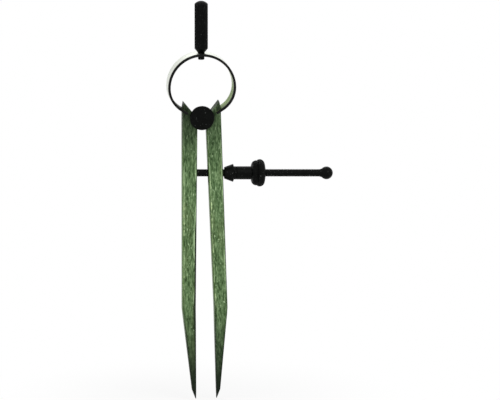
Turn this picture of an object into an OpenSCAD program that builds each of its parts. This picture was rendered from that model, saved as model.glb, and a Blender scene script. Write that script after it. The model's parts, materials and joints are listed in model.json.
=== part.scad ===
// Spring divider: two pointed legs that turn about a fulcrum stud, spread by a bow spring
// and set by a screw with a split quick-release nut.
// Lengths are in millimetres. +Z runs up the handle, -Y is the front face of the tool.

/* [Legs] */
// Distance from the fulcrum axis down to the points, with the legs closed
leg_length = 152.5; // [125:0.5:180]
// Thickness of a leg, front to back
leg_thickness = 6; // [5.4:0.1:8]
// Distance from the centre line to a closed leg's inner edge, level with the fulcrum
leg_inset = 2.3; // [2:0.1:2.8]
// Width of a leg, level with the fulcrum
leg_width = 8; // [7.2:0.1:9]
// Distance from the centre line to a closed leg's inner edge, where the taper starts
waist_inset = 1.5; // [1:0.1:2.2]
// Width of a leg where the taper starts
waist_width = 7; // [6.2:0.1:8]
// Height of the tapered stretch above the tip
taper_height = 49; // [40:1:70]
// Height of the ground point above the tip
point_height = 4.9; // [3:0.1:9]
// Width of a leg where the ground point starts
point_width = 2.3; // [1.6:0.1:3]
// Thickness of a leg where the ground point starts
point_thickness = 2.4; // [1.6:0.1:3.4]
// Width of the flat that the stone leaves at the very tip
point_flat = 0.3; // [0.2:0.05:0.5]
// Height of a leg's horn above the fulcrum
horn_height = 8.2; // [7:0.1:10]
// Distance from a leg's outer edge in to the tip of its horn
horn_inset = 0.7; // [0.4:0.05:0.9]
// Slope of the top of a leg, from the fulcrum up to its horn
horn_slope = 49.5; // [44:0.5:54]
// Width of the chamfer along a leg's edges
leg_chamfer = 0.5; // [0.2:0.05:0.8]
// Angle of the left leg from closed, as the tool is set
left_rest_angle = 1; // [0:0.05:2]
// Angle of the right leg from closed, as the tool is set
right_rest_angle = 2.9; // [2:0.05:4]

/* [Fulcrum] */
// Diameter of the front flange that keeps the legs in line
flange_d = 12.9; // [11.6:0.1:13.2]
// Diameter of the rear flange
rear_flange_d = 9.8; // [9.4:0.1:11]
// Thickness of a flange
flange_thickness = 1.6; // [1:0.1:2.4]
// Width of the chamfer round a flange's rim
flange_chamfer = 0.45; // [0.2:0.05:0.7]
// Diameter of the core that the legs turn on
core_d = 8.4; // [7:0.1:9]
// Diameter of the tenon that carries the rear flange
tenon_d = 4.4; // [3:0.1:5.4]
// Height of the riveted end of the tenon
tenon_head_height = 0.5; // [0.3:0.05:0.8]

/* [Bow] */
// Outer width of the bow
bow_width = 36.2; // [34:0.1:39]
// Height of the bow's outer face above the fulcrum
bow_height = 34.5; // [33:0.1:37]
// Width of the strip, front to back
strip_width = 10; // [9.4:0.1:12]
// Thickness of the strip
strip_thickness = 1.25; // [0.9:0.05:1.4]
// Thickness of the strip's ends, ground down to seat in the legs
end_thickness = 0.8; // [0.6:0.05:0.8]
// Length of the straight end of the strip
bow_end_length = 4; // [3.4:0.1:4.2]
// Length of the strip's web before it forks round the leg
web_length = 2.2; // [1.8:0.1:2.6]
// Height above the fulcrum where the strip's straight ends start
bow_end_height = 4.7; // [4.2:0.05:5.4]
// Distance from a closed leg's outer edge out to where the strip's straight ends start
bow_end_stand = 0.8; // [0.6:0.05:1]

/* [Handle] */
// Diameter of the grip
grip_d = 7.1; // [6:0.1:9]
// Length of the straight grip, up to the top of the handle
grip_length = 25.6; // [20:0.1:32]
// Height of the domed top of the handle
dome_height = 1.7; // [0.6:0.1:2.4]
// Diameter of the foot that seats on the bow
foot_d = 3.3; // [3:0.1:5.2]
// Height of the cone between the foot and the grip
cone_height = 2.4; // [2:0.1:4]
// Diameter of the rivet that holds the handle
rivet_d = 2; // [1.4:0.1:2.6]
// Diameter of the rivet's head
rivet_head_d = 3.4; // [2.8:0.1:3.8]
// Height of the rivet's head
rivet_head_height = 2.2; // [1.2:0.1:2.6]
// Width of the chamfer round the rivet's head
rivet_head_chamfer = 0.3; // [0.2:0.05:0.8]
// Depth of the rivet in the handle
rivet_depth = 9; // [5:0.5:14]

/* [Screw] */
// Distance from the fulcrum down the left leg to the screw's pin
screw_drop = 30.2; // [26:0.1:36]
// Diameter over the thread
screw_d = 3.9; // [3.4:0.02:4]
// Distance along the screw from its pin to the centre of the stop ball
screw_length = 73.4; // [72:0.2:90]
// Slope of the screw, right end down
screw_tilt = 1.35; // [0:0.05:3]
// Thickness of the flat eye on the screw's end
eye_thickness = 3.4; // [2.8:0.1:3.6]
// Diameter of the eye
eye_d = 4.3; // [3.8:0.1:4.8]
// Diameter of the pin
pin_d = 2; // [1.5:0.1:2.4]
// Diameter of the stop ball
ball_d = 6.8; // [5:0.1:8]
// Distance from the ball to where its neck starts
ball_neck = 0.3; // [0.1:0.05:0.9]
// Diameter of the spigot that the ball is pressed on
spigot_d = 2.4; // [1.6:0.1:2.8]

/* [Nut] */
// Diameter of the cup's nose, which bears on the right leg
cup_nose_d = 6.2; // [5.4:0.1:6.6]
// Diameter of the cup's rim
cup_rim_d = 9.5; // [8:0.1:10.5]
// Length of the cup's cone
cup_cone_length = 5; // [4.6:0.1:6.4]
// Length of the collar behind the cup's rim
cup_collar_length = 1.3; // [0.9:0.1:2]
// Diameter of the nut's barrel
barrel_d = 7; // [6.2:0.02:7.4]
// Length of the nut's barrel
barrel_length = 7.7; // [6:0.1:9]
// Radius of the rounded shoulder of the knob
shoulder_round = 2.6; // [2:0.05:3]
// Diameter over the knob's shoulder
shoulder_d = 13.3; // [12:0.1:13.4]
// Diameter of the knob's disc
knob_d = 14.5; // [13.4:0.1:16]
// Thickness of the knob's disc
knob_thickness = 3.7; // [3.4:0.1:4.6]
// Radius round the outer edge of the knob's disc
knob_round = 2.5; // [1.6:0.1:3]
// Diameter of the wire of the spring ring
ring_wire_d = 0.6; // [0.4:0.05:0.8]
// Opening of the spring ring
ring_opening = 30; // [15:5:60]

/* [Clearances] */
// Radial clearance of a turning or sliding fit
running_clearance = 0.07; // [0.03:0.01:0.1]
// Clearance between a leg's faces and the flanges and forks beside them
side_clearance = 0.1; // [0.05:0.01:0.2]
// Clearance round the bow's end in a leg's notch
notch_clearance = 0.2; // [0.1:0.02:0.3]
// Clearance of the screw in the right leg's slot
slot_clearance = 0.2; // [0.12:0.02:0.3]
// Clearance of the screw's eye in the left leg's mortise
mortise_clearance = 0.25; // [0.15:0.01:0.3]
// Gap between the cup's nose and the right leg as the tool is set
cup_gap = 0.75; // [0.7:0.05:1]
// Clearance of the nut's taper in the cup
taper_clearance = 0.12; // [0.08:0.01:0.2]
// Gap between the two jaws of the nut
jaw_gap = 0.12; // [0.06:0.02:0.3]

/* [Travel] */
// Largest angle that each leg opens from where the tool is set
open_angle = 26.5; // [20:0.5:27]

/* [Hidden] */
$fn = 96;

// Cutting bodies run past what they cut by this much
over = 1;
steel_green = [0.42, 0.5, 0.36];
black_oxide = [0.1, 0.1, 0.1];

// Legs, closed: x from the centre line, y up from the fulcrum
waist_level = taper_height - leg_length;
point_level = point_height - leg_length;
leg_outer = leg_inset + leg_width;
waist_outer = waist_inset + waist_width;
outer_slope = (leg_outer - waist_outer) / -waist_level;
inner_slope = (leg_inset - waist_inset) / -waist_level;
tip_inset = 0.2;
// How far the point's sides, seen from the side, would run on to meet below the tip
point_run = point_height * point_flat / (point_thickness - point_flat);
horn_root = [leg_outer + outer_slope * bow_end_height, bow_end_height];
horn_tip = [horn_root.x - horn_inset, horn_height];
slope_rise = tan(horn_slope);
slope_foot = [leg_inset, horn_height - (horn_tip.x - leg_inset) * slope_rise];
blank_height = (horn_height + (leg_outer - horn_tip.x) * slope_rise) / (1 - outer_slope * slope_rise);
blank_tip = [leg_outer + outer_slope * blank_height, blank_height];
function leg_middle(level) =
    (leg_inset + leg_outer + level * (inner_slope + outer_slope)) / 2;

// A closed right leg's point [x, z] after the leg has opened by an angle
function opened(p, angle) =
    [p.x * cos(angle) - p.y * sin(angle), p.x * sin(angle) + p.y * cos(angle)];
function mirrored(p) = [-p.x, p.y];

// Screw: pin on the left leg, direction, and where it crosses the right leg
pin_in_leg = [leg_middle(-screw_drop), -screw_drop];
pin_at = mirrored(opened(pin_in_leg, left_rest_angle));
screw_way = [cos(screw_tilt), -sin(screw_tilt)];
function reach_to(a, b) = cross(a - pin_at, b - a) / cross(screw_way, b - a);
middle_top = opened([leg_middle(0), 0], right_rest_angle);
middle_waist = opened([leg_middle(waist_level), waist_level], right_rest_angle);
outer_top = opened([leg_outer, 0], right_rest_angle);
outer_waist = opened([waist_outer, waist_level], right_rest_angle);
crossing = pin_at + reach_to(middle_top, middle_waist) * screw_way;
crossing_level = opened(crossing, -right_rest_angle).y;
lean = right_rest_angle + screw_tilt;
cup_start = reach_to(outer_top, outer_waist) + cup_nose_d / 2 * tan(lean) + cup_gap;

// Slots that let the screw keep its slope while the legs open
full_lean = lean + open_angle;
slot_half_width = screw_d / 2 + slot_clearance;
// How far the screw drops in the right leg's slot as the legs open, halved
slot_drift = 0.5;
slot_half_height = leg_width / 2 * tan(full_lean) + screw_d / 2 / cos(full_lean)
    + slot_drift + slot_clearance;
mortise_rise = leg_width / 2 * tan(open_angle) + screw_d / 2 / cos(open_angle)
    + mortise_clearance;
mortise_back = eye_d / 2 + mortise_clearance;
// Metal left at the blind end of the pin's bore
pin_skin = 0.4;

// Fulcrum
core_length = leg_thickness + 2 * side_clearance;

// Bow: a half circle over two tighter side arcs that bring its ends in to the legs
bow_radius = (bow_width - strip_thickness) / 2;
bow_centre_height = bow_height - bow_width / 2;
bow_end_x = leg_outer + bow_end_stand;
bow_end_drop = bow_centre_height - bow_end_height;
side_offset = round_to((pow(bow_radius, 2) - pow(bow_end_x, 2) - pow(bow_end_drop, 2))
    / (2 * (bow_radius - bow_end_x)), 0.001);
bow_side_radius = bow_radius - side_offset;
bow_side_sweep = round_to(asin(bow_end_drop / bow_side_radius), 0.01);
bow_outer_radius = bow_width / 2;
bow_inner_radius = bow_outer_radius - strip_thickness;
function round_to(value, step) = round(value / step) * step;

// Handle: the foot is hollowed to sit on the curved bow
foot_level = bow_centre_height + sqrt(pow(bow_outer_radius, 2) - pow(foot_d / 2, 2));
grip_level = bow_height + cone_height;
handle_top = grip_level + grip_length;
head_level = bow_centre_height + sqrt(pow(bow_inner_radius, 2) - pow(rivet_head_d / 2, 2));

// The origin lies on the axis of the grip, half way up its straight part
origin_level = grip_level + (grip_length - dome_height) / 2;

// Stations along the screw, from its pin
cup_rim = cup_start + cup_cone_length;
cup_end = cup_rim + cup_collar_length;
cup_rim_bevel = 0.45;
nut_start = cup_end + taper_clearance;
knob_start = nut_start + barrel_length;
shoulder_land = 0.3;
shoulder_end = knob_start + shoulder_round + shoulder_land;
groove_d = shoulder_d - 2 * ring_wire_d;
groove_clearance = 0.1;
groove_width = ring_wire_d + groove_clearance;
disc_start = shoulder_end + groove_width;
disc_end = disc_start + knob_thickness;
hub_rise = 0.45;
nut_end = disc_end + hub_rise;

// Nut's taper and the socket in the cup share one slope
socket_share = 0.62;
socket_wall = 0.5;
socket_slope = 0.15;
socket_depth = cup_cone_length * socket_share + cup_collar_length;
socket_mouth_r = barrel_d / 2 - socket_wall;
screw_bore_r = screw_d / 2 + running_clearance;

// Lays a front-view outline into the tool's plane, centred front to back
module front_view(depth) {
    rotate([90, 0, 0])
        linear_extrude(depth, center = true)
            children();
}

// Moves what is drawn about the fulcrum so that the grip holds the origin
module from_fulcrum() {
    translate([0, 0, -origin_level])
        children();
}

// Puts what is drawn along +X from the origin on the screw's axis
module on_screw() {
    from_fulcrum()
        translate([pin_at.x, 0, pin_at.y])
            rotate([0, screw_tilt, 0])
                children();
}

// Turns a profile of [radius, station] points round the X axis
module turned(angle = 360) {
    rotate([0, 90, 0])
        rotate_extrude(angle = angle)
            children();
}

// Front outline of the right leg, closed
module leg_outline() {
    polygon([
        slope_foot,
        blank_tip,
        [waist_outer, waist_level],
        [tip_inset + point_width, point_level],
        [tip_inset + point_flat, -leg_length],
        [tip_inset, -leg_length],
        [waist_inset, waist_level]
    ]);
}

// Side outline of a leg: even down to the waist, then thinned to the point
module leg_side() {
    half = leg_thickness / 2;
    tip_half = point_thickness / 2;
    polygon([
        [-half, blank_height + over],
        [-half, waist_level],
        [-tip_half, point_level],
        [0, -leg_length - point_run],
        [tip_half, point_level],
        [half, waist_level],
        [half, blank_height + over]
    ]);
}

// Bevels both long edges of a leg between two points of its outline
module edge_bevel(from, to) {
    way = to - from;
    for (side = [-1, 1])
        translate([from.x, side * leg_thickness / 2, from.y])
            rotate([0, -atan2(way.y, way.x), 0])
                rotate([45, 0, 0])
                    cube([2 * (norm(way) + over), sqrt(2) * leg_chamfer, sqrt(2) * leg_chamfer],
                        center = true);
}

// Closed right leg without the cuts that belong to one side
module leg_blank() {
    difference() {
        intersection() {
            front_view(leg_thickness)
                leg_outline();
            translate([-over, 0, 0])
                rotate([90, 0, 90])
                    linear_extrude(blank_tip.x + 2 * over)
                        leg_side();
        }
        edge_bevel([waist_outer, waist_level], blank_tip);
        edge_bevel([waist_inset, waist_level], slope_foot);
        front_view(leg_thickness + over)
            circle(d = core_d + 2 * running_clearance);
    }
}

// Frame of the bow's right end: x out of the bow, -y along the straight end, z to the front
module at_bow_end() {
    translate([side_offset, 0, bow_centre_height])
        rotate([90, 0, 0])
            rotate([0, 0, -bow_side_sweep])
                translate([bow_side_radius, 0, 0])
                    children();
}

// Straight end of the bow's strip, grown by a clearance and running back over its start
module bow_end_bar(length, back, grow = 0) {
    at_bow_end()
        translate([-end_thickness / 2 - grow, -length - grow, -strip_width / 2 - grow])
            cube([end_thickness + 2 * grow, length + back + grow, strip_width + 2 * grow]);
}

// Leans the outer side of a horn in towards its tip
module horn_side() {
    translate([horn_root.x, 0, horn_root.y])
        rotate([0, -atan(horn_inset / (horn_height - bow_end_height)), 0])
            translate([0, -leg_thickness, 0])
                cube([leg_width, 2 * leg_thickness, 2 * horn_height]);
}

module bow_notch() {
    bow_end_bar(web_length, over, notch_clearance);
}

module left_leg() {
    from_fulcrum()
        color(steel_green)
            mirror([1, 0, 0])
                difference() {
                    rotate([0, -left_rest_angle, 0])
                        difference() {
                            leg_blank();
                            translate([pin_in_leg.x, 0, pin_in_leg.y])
                                mortise();
                            horn_side();
                        }
                    bow_notch();
                }
}

// Pocket for the screw's eye, open towards the other leg, and the blind bore for its pin
module mortise() {
    width = eye_thickness + 2 * mortise_clearance;
    translate([-leg_width, -width / 2, -mortise_back])
        cube([leg_width + mortise_back, width, mortise_back + mortise_rise]);
    rotate([90, 0, 0])
        translate([0, 0, -leg_thickness / 2 - over])
            cylinder(d = pin_d, h = leg_thickness - pin_skin + over);
}

module right_leg() {
    from_fulcrum()
        color(steel_green)
            difference() {
                rotate([0, -right_rest_angle, 0])
                    difference() {
                        leg_blank();
                        translate([0, 0, crossing_level - slot_drift])
                            screw_slot();
                        horn_side();
                    }
                bow_notch();
            }
}

// Round-ended slot across the right leg
module screw_slot() {
    length = leg_outer + 2 * over;
    half_run = slot_half_height - slot_half_width;
    translate([0, -slot_half_width, -half_run])
        cube([length, 2 * slot_half_width, 2 * half_run]);
    for (end = [-half_run, half_run])
        translate([0, 0, end])
            rotate([0, 90, 0])
                cylinder(r = slot_half_width, h = length);
}

// Arc of the bow's strip about its own centre, from its widest place up (1) or down (-1)
module strip_arc(radius, sweep, way) {
    rotate([90 * way, 0, 0])
        rotate_extrude(angle = sweep)
            translate([radius - strip_thickness / 2, -strip_width / 2])
                square([strip_thickness, strip_width]);
}

// One side of the bow with its forked end
module bow_side() {
    fork_width = leg_thickness + 2 * side_clearance;
    translate([side_offset, 0, bow_centre_height])
        strip_arc(bow_side_radius, bow_side_sweep, -1);
    difference() {
        bow_end_bar(bow_end_length, end_thickness / 2);
        at_bow_end()
            translate([-end_thickness, -bow_end_length - over, -fork_width / 2])
                cube([2 * end_thickness, bow_end_length - web_length + over, fork_width]);
    }
}

module bow_spring() {
    from_fulcrum()
        color(steel_green)
            difference() {
                union() {
                    bow_side();
                    mirror([1, 0, 0])
                        bow_side();
                    translate([0, 0, bow_centre_height])
                        strip_arc(bow_radius, 180, 1);
                }
                translate([0, 0, bow_height - strip_thickness - over])
                    cylinder(d = rivet_d, h = strip_thickness + 2 * over);
            }
}

module handle() {
    from_fulcrum()
        color(black_oxide)
            difference() {
                rotate_extrude()
                    handle_profile();
                translate([0, 0, bow_centre_height])
                    rotate([90, 0, 0])
                        cylinder(r = bow_outer_radius, h = grip_d, center = true);
                translate([0, 0, foot_level - 2 * over])
                    cylinder(d = rivet_d, h = rivet_depth + 2 * over);
            }
}

module handle_profile() {
    grip_r = grip_d / 2;
    dome_r = (pow(grip_r, 2) + pow(dome_height, 2)) / (2 * dome_height);
    polygon([
        [0, foot_level - over],
        [foot_d / 2, foot_level - over],
        [foot_d / 2, bow_height],
        [grip_r, grip_level],
        [grip_r, handle_top - dome_height],
        [0, handle_top - dome_height]
    ]);
    intersection() {
        translate([0, handle_top - dome_r])
            circle(r = dome_r);
        translate([0, handle_top - dome_height])
            square([grip_r, dome_height]);
    }
}

module handle_rivet() {
    from_fulcrum()
        color(black_oxide)
            rotate_extrude()
                polygon([
                    [0, head_level - rivet_head_height],
                    [rivet_head_d / 2 - rivet_head_chamfer, head_level - rivet_head_height],
                    [rivet_head_d / 2, head_level - rivet_head_height + rivet_head_chamfer],
                    [rivet_head_d / 2, head_level],
                    [rivet_d / 2, head_level],
                    [rivet_d / 2, foot_level + rivet_depth],
                    [0, foot_level + rivet_depth]
                ]);
}

// Front flange, core and tenon in one piece, turned about the front-to-back axis
module fulcrum_stud() {
    face = core_length / 2 + flange_thickness;
    from_fulcrum()
        color(black_oxide)
            rotate([90, 0, 0])
                rotate_extrude()
                    polygon([
                        [0, face],
                        [flange_d / 2 - flange_chamfer, face],
                        [flange_d / 2, face - flange_chamfer],
                        [flange_d / 2, core_length / 2],
                        [core_d / 2, core_length / 2],
                        [core_d / 2, -core_length / 2],
                        [tenon_d / 2, -core_length / 2],
                        [tenon_d / 2, -face],
                        [tenon_d / 4, -face - tenon_head_height],
                        [0, -face - tenon_head_height]
                    ]);
}

module fulcrum_washer() {
    face = core_length / 2 + flange_thickness;
    from_fulcrum()
        color(black_oxide)
            rotate([90, 0, 0])
                rotate_extrude()
                    polygon([
                        [tenon_d / 2, -core_length / 2],
                        [rear_flange_d / 2, -core_length / 2],
                        [rear_flange_d / 2, -face + flange_chamfer],
                        [rear_flange_d / 2 - flange_chamfer, -face],
                        [tenon_d / 2, -face]
                    ]);
}

module screw_pivot_pin() {
    from_fulcrum()
        color(steel_green)
            translate([pin_at.x, 0, pin_at.y])
                rotate([90, 0, 0])
                    translate([0, 0, -leg_thickness / 2])
                        cylinder(d = pin_d, h = leg_thickness - pin_skin);
}

module adjusting_screw() {
    shoulder = screw_length - ball_d / 2 - ball_neck;
    on_screw()
        color(black_oxide)
            difference() {
                union() {
                    turned()
                        polygon([
                            [0, 0],
                            [screw_d / 2, 0],
                            [screw_d / 2, shoulder],
                            [spigot_d / 2, shoulder],
                            [spigot_d / 2, screw_length],
                            [0, screw_length]
                        ]);
                    rotate([90, 0, 0])
                        cylinder(d = eye_d, h = eye_thickness, center = true);
                }
                rotate([90, 0, 0])
                    cylinder(d = pin_d + 2 * running_clearance, h = screw_d + over, center = true);
                for (side = [-1, 1])
                    translate([0, side * (eye_thickness + screw_d) / 2, 0])
                        cube([2 * eye_d, screw_d, 2 * eye_d], center = true);
            }
}

module screw_stop_ball() {
    neck_start = screw_length - ball_d / 2 - ball_neck;
    neck_end = screw_length - ball_d / 4;
    neck_flare = 0.6;
    on_screw()
        color(black_oxide)
            difference() {
                union() {
                    translate([screw_length, 0, 0])
                        sphere(d = ball_d);
                    turned()
                        polygon([
                            [0, neck_start],
                            [screw_d / 2, neck_start],
                            [screw_d / 2 + neck_flare, neck_end],
                            [0, neck_end]
                        ]);
                }
                turned()
                    polygon([
                        [0, neck_start - over],
                        [spigot_d / 2, neck_start - over],
                        [spigot_d / 2, screw_length],
                        [0, screw_length]
                    ]);
            }
}

// Cone that bears on the right leg, with a tapered socket that closes the nut's jaws
module nut_cup() {
    socket_floor_r = socket_mouth_r - socket_slope * socket_depth;
    on_screw()
        color(black_oxide)
            turned()
                polygon([
                    [screw_bore_r, cup_start],
                    [cup_nose_d / 2, cup_start],
                    [cup_rim_d / 2, cup_rim - cup_rim_bevel],
                    [barrel_d / 2, cup_rim],
                    [barrel_d / 2, cup_end],
                    [socket_mouth_r, cup_end],
                    [socket_floor_r, cup_end - socket_depth],
                    [screw_bore_r, cup_end - socket_depth]
                ]);
}

// Profile of the nut: taper, barrel, rounded shoulder, spring groove and disc
module nut_profile() {
    taper_length = socket_depth - taper_clearance;
    taper_mouth_r = socket_mouth_r - taper_clearance;
    hub_r = (barrel_d + screw_d) / 4;
    polygon([
        [screw_bore_r, cup_end - taper_length],
        [taper_mouth_r - socket_slope * taper_length, cup_end - taper_length],
        [taper_mouth_r, nut_start],
        [barrel_d / 2, nut_start],
        [barrel_d / 2, shoulder_end],
        [groove_d / 2, shoulder_end],
        [groove_d / 2, disc_start],
        [knob_d / 2 - knob_round, disc_start],
        [knob_d / 2 - knob_round, disc_end],
        [hub_r, nut_end],
        [screw_bore_r, nut_end]
    ]);
    intersection() {
        translate([shoulder_d / 2 - shoulder_round, shoulder_end])
            circle(r = shoulder_round);
        translate([screw_bore_r, knob_start])
            square([shoulder_d / 2, shoulder_end - knob_start]);
    }
    translate([screw_bore_r, shoulder_end - shoulder_round])
        square([shoulder_d / 2 - shoulder_round - screw_bore_r, shoulder_round]);
    intersection() {
        translate([knob_d / 2 - knob_round, disc_end - knob_round])
            circle(r = knob_round);
        translate([screw_bore_r, disc_start])
            square([knob_d, knob_thickness]);
    }
}

// One half of the nut, split along the plane of the legs
module nut_jaw(side) {
    on_screw()
        color(black_oxide)
            difference() {
                mirror([0, side < 0 ? 1 : 0, 0])
                    turned(180)
                        nut_profile();
                translate([(cup_start + nut_end) / 2, 0, 0])
                    cube([nut_end, jaw_gap, 2 * knob_d], center = true);
            }
}

module nut_jaw_front() {
    nut_jaw(-1);
}

module nut_jaw_rear() {
    nut_jaw(1);
}

// Open wire ring that lies in the groove and holds the jaws together
module nut_ring_spring() {
    on_screw()
        color(black_oxide)
            rotate([ring_opening / 2, 0, 0])
                turned(360 - ring_opening)
                    translate([(groove_d + ring_wire_d) / 2, (shoulder_end + disc_start) / 2])
                        circle(d = ring_wire_d);
}

left_leg();
right_leg();
bow_spring();
handle();
handle_rivet();
fulcrum_stud();
fulcrum_washer();
screw_pivot_pin();
adjusting_screw();
screw_stop_ball();
nut_cup();
nut_jaw_front();
nut_jaw_rear();
nut_ring_spring();
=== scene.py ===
"""Looks of the spring divider: every surface of the tool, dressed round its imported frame."""

import json
import logging
import math
from dataclasses import dataclass
from enum import Enum
from typing import Callable, Iterable, Sequence

import bmesh
import bpy
from mathutils import Matrix, Vector


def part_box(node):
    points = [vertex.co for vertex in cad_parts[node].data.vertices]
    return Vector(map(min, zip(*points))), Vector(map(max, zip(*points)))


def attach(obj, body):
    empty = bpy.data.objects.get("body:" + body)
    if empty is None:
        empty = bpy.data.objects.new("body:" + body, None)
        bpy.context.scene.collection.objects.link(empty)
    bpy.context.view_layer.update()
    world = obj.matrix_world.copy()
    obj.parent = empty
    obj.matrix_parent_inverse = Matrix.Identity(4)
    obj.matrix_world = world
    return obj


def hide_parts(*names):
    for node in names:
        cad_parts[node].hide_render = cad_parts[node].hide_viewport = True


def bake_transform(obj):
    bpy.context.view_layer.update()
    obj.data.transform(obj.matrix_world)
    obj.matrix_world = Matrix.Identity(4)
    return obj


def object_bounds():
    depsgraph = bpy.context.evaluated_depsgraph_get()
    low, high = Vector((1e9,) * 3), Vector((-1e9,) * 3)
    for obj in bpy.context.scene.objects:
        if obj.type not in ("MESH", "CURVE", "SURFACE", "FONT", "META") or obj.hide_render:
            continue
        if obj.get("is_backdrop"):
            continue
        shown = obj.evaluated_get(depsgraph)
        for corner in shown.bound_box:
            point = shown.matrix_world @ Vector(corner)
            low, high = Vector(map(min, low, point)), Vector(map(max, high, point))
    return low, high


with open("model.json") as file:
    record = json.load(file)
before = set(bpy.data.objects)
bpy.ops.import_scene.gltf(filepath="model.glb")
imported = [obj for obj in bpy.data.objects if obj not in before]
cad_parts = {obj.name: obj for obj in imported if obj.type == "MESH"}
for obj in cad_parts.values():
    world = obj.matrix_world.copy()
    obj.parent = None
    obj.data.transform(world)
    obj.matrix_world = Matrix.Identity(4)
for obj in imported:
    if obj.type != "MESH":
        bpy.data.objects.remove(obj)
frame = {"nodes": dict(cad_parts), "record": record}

LOG = logging.getLogger("divider")
MM = 0.001
# Distances in metres under which points are one, and degrees over which edges are sharp.
SAME_POINT = 1e-7
SAME_CAD_POINT = 1e-6
NO_LENGTH = 1e-8
SHARP = 35.0
EDGE_DISTANCE = "edge_distance"
OUTSIDE = "outside"
Profile = list[tuple[float, float]]
Colour = tuple[float, float, float]
Piece = bpy.types.Object
Material = bpy.types.Material
Shape = bmesh.types.BMesh
Ramp = tuple[float, ...]
Streak = tuple[float, float, int]


def linear(red: int, green: int, blue: int) -> Colour:
    """Turns a colour as it looks on a screen into the shader's linear values.

    Args:
        red: Red from 0 to 255.
        green: Green from 0 to 255.
        blue: Blue from 0 to 255.

    Returns:
        The three linear values.
    """
    def one(value: int) -> float:
        """Linear value of one channel."""
        share = value / 255
        return share / 12.92 if share <= 0.04045 else ((share + 0.055) / 1.055) ** 2.4
    return one(red), one(green), one(blue)


def math_method(operation: str, swapped: bool = False) -> Callable[..., "Sock"]:
    """Makes a method of Sock that adds a Math node.

    Args:
        operation: Blender's name of the operation.
        swapped: Whether the other value comes first.

    Returns:
        The method.
    """
    def method(self: "Sock", *others: object) -> "Sock":
        """Result of the operation on this value and the others."""
        values = (*others, self) if swapped else (self, *others)
        return self.works.add("ShaderNodeMath", dict(enumerate(values)), operation=operation)
    return method


class Sock:
    """A node socket that can be used in Python arithmetic."""

    def __init__(self, works: "NodeWorks", socket: bpy.types.NodeSocket) -> None:
        """Wraps one output socket of a tree."""
        self.works = works
        self.socket = socket

    __add__ = __radd__ = math_method("ADD")
    __sub__ = math_method("SUBTRACT")
    __rsub__ = math_method("SUBTRACT", swapped=True)
    __mul__ = __rmul__ = math_method("MULTIPLY")
    __truediv__ = math_method("DIVIDE")
    __abs__ = math_method("ABSOLUTE")
    most = math_method("MAXIMUM")
    least = math_method("MINIMUM")
    root = math_method("SQRT")
    angle_to = math_method("ARCTAN2")
    bounce = math_method("PINGPONG")

    def wave(self) -> "Sock":
        """Triangle wave of period 1: 0 at whole numbers and 1 half way between."""
        return self.bounce(0.5) * 2

    def reach(self, other: "Sock") -> "Sock":
        """Length of the line to the point with these two coordinates."""
        return (self * self + other * other).root()

    def ramp(self, low: float, high: float, most: float = 1.0) -> "Sock":
        """Rises smoothly from 0 at low to its most at high.

        Args:
            low: Value where the rise starts.
            high: Value where the rise ends. It may lie below low.
            most: Where it rises to.

        Returns:
            The smooth rise.
        """
        inputs = {"Value": self, "From Min": min(low, high), "From Max": max(low, high)}
        rise = self.works.add("ShaderNodeMapRange", inputs, interpolation_type="SMOOTHSTEP")
        share = rise if low < high else 1 - rise
        return share if most == 1 else share * most


class NodeWorks:
    """Adds nodes to one shader or geometry tree."""

    def __init__(self, tree: bpy.types.NodeTree) -> None:
        """Starts on an emptied tree."""
        self.tree = tree
        tree.nodes.clear()

    def node(self, kind: str, inputs: dict | None = None, **settings: object) -> bpy.types.Node:
        """Makes one node.

        Args:
            kind: Blender's name of the node's type.
            inputs: Values or links of its sockets, by identifier, name or number.
            settings: Properties to set before the sockets.

        Returns:
            The new node.
        """
        made = self.tree.nodes.new(kind)
        for name, value in settings.items():
            setattr(made, name, value)
        self.fill(made, inputs or {})
        return made

    def add(self, kind: str, inputs: dict | None = None, out: str | int = 0, **settings: object) -> Sock:
        """Makes one node like node does, and returns one of its outputs by name or number."""
        return Sock(self, self.node(kind, inputs, **settings).outputs[out])

    def fill(self, made: bpy.types.Node, inputs: dict) -> None:
        """Sets or links input sockets of a node.

        Args:
            made: The node.
            inputs: Values or links of its sockets, by identifier, name or number.
        """
        for name, value in inputs.items():
            socket = self.find(made, name)
            if isinstance(value, Sock):
                self.tree.links.new(value.socket, socket)
            elif isinstance(value, tuple) and len(value) == 3 and socket.type == "RGBA":
                socket.default_value = (*value, 1.0)
            else:
                socket.default_value = value

    @staticmethod
    def find(made: bpy.types.Node, name: str | int) -> bpy.types.NodeSocket:
        """Input of a node by number, identifier or name."""
        if isinstance(name, str):
            for socket in made.inputs:
                if socket.identifier == name:
                    return socket
        return made.inputs[name]

    def split(self, vector: Sock) -> list[Sock]:
        """The three parts of a vector."""
        return [Sock(self, part) for part in self.node("ShaderNodeSeparateXYZ", {0: vector}).outputs]

    def mix(self, share: Sock, first: object, second: object) -> Sock:
        """Mixes two colours.

        Args:
            share: How much of the second colour shows.
            first: Colour at share 0.
            second: Colour at share 1.

        Returns:
            The mixed colour.
        """
        inputs = {"Factor_Float": share, "A_Color": first, "B_Color": second}
        made = self.node("ShaderNodeMix", inputs, data_type="RGBA")
        return Sock(self, next(out for out in made.outputs if out.identifier == "Result_Color"))

    def gradient(self, share: Sock, stops: Sequence[tuple[float, Colour]]) -> Sock:
        """Colours a value by a ramp.

        Args:
            share: Place on the ramp.
            stops: The ramp's places and their colours.

        Returns:
            The colour.
        """
        made = self.node("ShaderNodeValToRGB", {"Fac": share})
        elements = made.color_ramp.elements
        while len(elements) < len(stops):
            elements.new(0.5)
        for element, (place, colour) in zip(elements, stops):
            element.position = place
            element.color = (*colour, 1.0)
        return Sock(self, made.outputs[0])


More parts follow.
